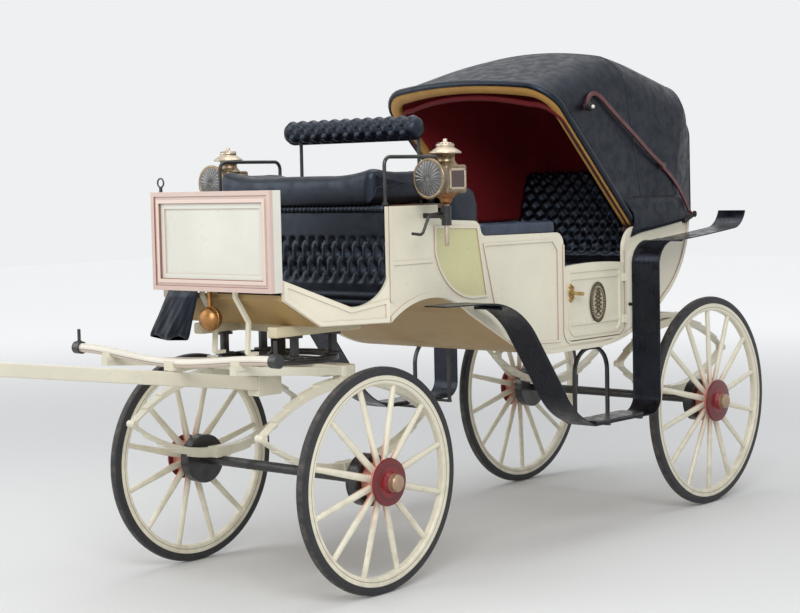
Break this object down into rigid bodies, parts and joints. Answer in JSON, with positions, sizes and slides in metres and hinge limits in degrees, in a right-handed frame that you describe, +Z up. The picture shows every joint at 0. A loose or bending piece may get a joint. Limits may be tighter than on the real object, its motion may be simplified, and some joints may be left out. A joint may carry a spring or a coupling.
{
  "type": "horse drawn carriage",
  "caption": "Four-wheeled horse drawn carriage with a driver's box, facing seats behind low doors, a folding leather hood, elliptic springs, a pole and side lamps.",
  "frame": {"origin": "on the ground, at the middle of the carriage's length and width", "axes": "the horse end faces -Y, +X is the vehicle's left side and +Z is up"},
  "size_m": [1.654, 6.3199, 2.5997],
  "materials": {
    "rubber": "matt black solid rubber tyres with dust",
    "cream_paint": "cream gloss coach paint, lightly dusty",
    "pink_paint": "dusty pink gloss coach paint on raised mouldings",
    "red_paint": "dark red gloss paint on the hub flanges",
    "black_iron": "black painted iron, semi-gloss",
    "black_leather": "black leather with a bluish sheen, buttoned on the seats",
    "bow_wood": "painted wood",
    "brass": "polished brass with some tarnish",
    "lens_glass": "cut glass lamp lens"
  },
  "bodies": {
    "carriage_body": {"apron": "black_leather", "benches": "bow_wood", "body_irons": "black_iron", "box_seat": "bow_wood", "cushions": "black_leather", "dash": "cream_paint", "dash_frame": "pink_paint", "driver_roll": "black_leather", "fenders": "black_iron", "floor_cabin": "cream_paint", "floor_front": "cream_paint", "gong": "brass", "kick_panel": "black_leather", "lamp_lenses": "lens_glass", "lamps": "brass", "mouldings": "pink_paint", "rails": "black_iron", "rear_axle": "black_iron", "rear_hangers": "cream_paint", "rear_panel": "cream_paint", "rear_springs": "cream_paint", "side_left": "cream_paint", "side_pads": "black_leather", "side_right": "cream_paint", "squabs": "black_leather", "steps": "black_iron", "turntable_upper": "black_iron"},
    "fore_carriage": {"front_axle": "black_iron", "front_springs": "cream_paint", "front_bed": "black_iron", "turntable_lower": "black_iron", "pole": "cream_paint", "splinter_bar": "pink_paint", "draught_irons": "black_iron", "futchells": "cream_paint"},
    "front_wheel_left": {"tyre_front_left": "rubber", "wheel_front_left": "cream_paint", "hub_front_left": "red_paint"},
    "front_wheel_right": {"tyre_front_right": "rubber", "wheel_front_right": "cream_paint", "hub_front_right": "red_paint"},
    "rear_wheel_left": {"tyre_rear_left": "rubber", "wheel_rear_left": "cream_paint", "hub_rear_left": "red_paint"},
    "rear_wheel_right": {"tyre_rear_right": "rubber", "wheel_rear_right": "cream_paint", "hub_rear_right": "red_paint"},
    "left_door": {"door_left": "cream_paint", "handle_left": "brass"},
    "right_door": {"door_right": "cream_paint", "handle_right": "brass"},
    "front_bow": {"hood_bow_front": "bow_wood"},
    "middle_bow": {"hood_bow_middle": "bow_wood", "hood_leather": "black_leather"},
    "rear_bow": {"hood_bow_rear": "bow_wood"},
    "front_link": {"hood_iron_front": "black_iron"},
    "rear_link": {"hood_iron_rear": "black_iron"}
  },
  "joints": [
    {"name": "steering", "type": "hinge", "parent": "carriage_body", "child": "fore_carriage", "pos_m": [0, -0.26, 1.1], "axis": [0, 0, 1], "range_deg": [-50, 50]},
    {"name": "front_wheel_left_spin", "type": "hinge", "parent": "fore_carriage", "child": "front_wheel_left", "pos_m": [0.63, -0.26, 0.5275], "axis": [1, 0, 0], "continuous": true},
    {"name": "front_wheel_right_spin", "type": "hinge", "parent": "fore_carriage", "child": "front_wheel_right", "pos_m": [-0.63, -0.26, 0.5275], "axis": [1, 0, 0], "continuous": true},
    {"name": "rear_wheel_left_spin", "type": "hinge", "parent": "carriage_body", "child": "rear_wheel_left", "pos_m": [0.677, 2.56, 0.6], "axis": [1, 0, 0], "continuous": true},
    {"name": "rear_wheel_right_spin", "type": "hinge", "parent": "carriage_body", "child": "rear_wheel_right", "pos_m": [-0.677, 2.56, 0.6], "axis": [1, 0, 0], "continuous": true},
    {"name": "left_door_hinge", "type": "hinge", "parent": "carriage_body", "child": "left_door", "pos_m": [0.612, 1.8185, 1.24], "axis": [0, 0, 1], "range_deg": [0, 80]},
    {"name": "right_door_hinge", "type": "hinge", "parent": "carriage_body", "child": "right_door", "pos_m": [-0.612, 1.8185, 1.24], "axis": [0, 0, -1], "range_deg": [0, 80]},
    {"name": "hood_front_bow_fold", "type": "hinge", "parent": "carriage_body", "child": "front_bow", "pos_m": [0, 1.975, 1.607], "axis": [-1, 0, 0], "range_deg": [0, 85]},
    {"name": "hood_middle_bow_fold", "type": "hinge", "parent": "carriage_body", "child": "middle_bow", "pos_m": [0, 1.975, 1.607], "axis": [-1, 0, 0], "range_deg": [0, 61.26], "deforming": ["hood_leather"]},
    {"name": "hood_rear_bow_fold", "type": "hinge", "parent": "carriage_body", "child": "rear_bow", "pos_m": [0, 1.975, 1.607], "axis": [-1, 0, 0], "range_deg": [0, 36.34]},
    {"name": "hood_rear_link_turn", "type": "hinge", "parent": "carriage_body", "child": "rear_link", "pos_m": [0, 2.54, 1.678], "axis": [-1, 0, 0], "range_deg": [0, 186.43]},
    {"name": "hood_front_link_turn", "type": "hinge", "parent": "front_bow", "child": "front_link", "pos_m": [0, 1.482, 2.272], "axis": [-1, 0, 0], "range_deg": [-32.92, 0]}
  ],
  "couplings": [
    {"joint": "hood_middle_bow_fold", "follows": "hood_front_bow_fold", "ratio": 0.7206},
    {"joint": "hood_rear_bow_fold", "follows": "hood_front_bow_fold", "ratio": 0.4274},
    {"joint": "hood_rear_link_turn", "follows": "hood_front_bow_fold", "ratio": 2.1932},
    {"joint": "hood_front_link_turn", "follows": "hood_front_bow_fold", "ratio": -0.3872}
  ]
}
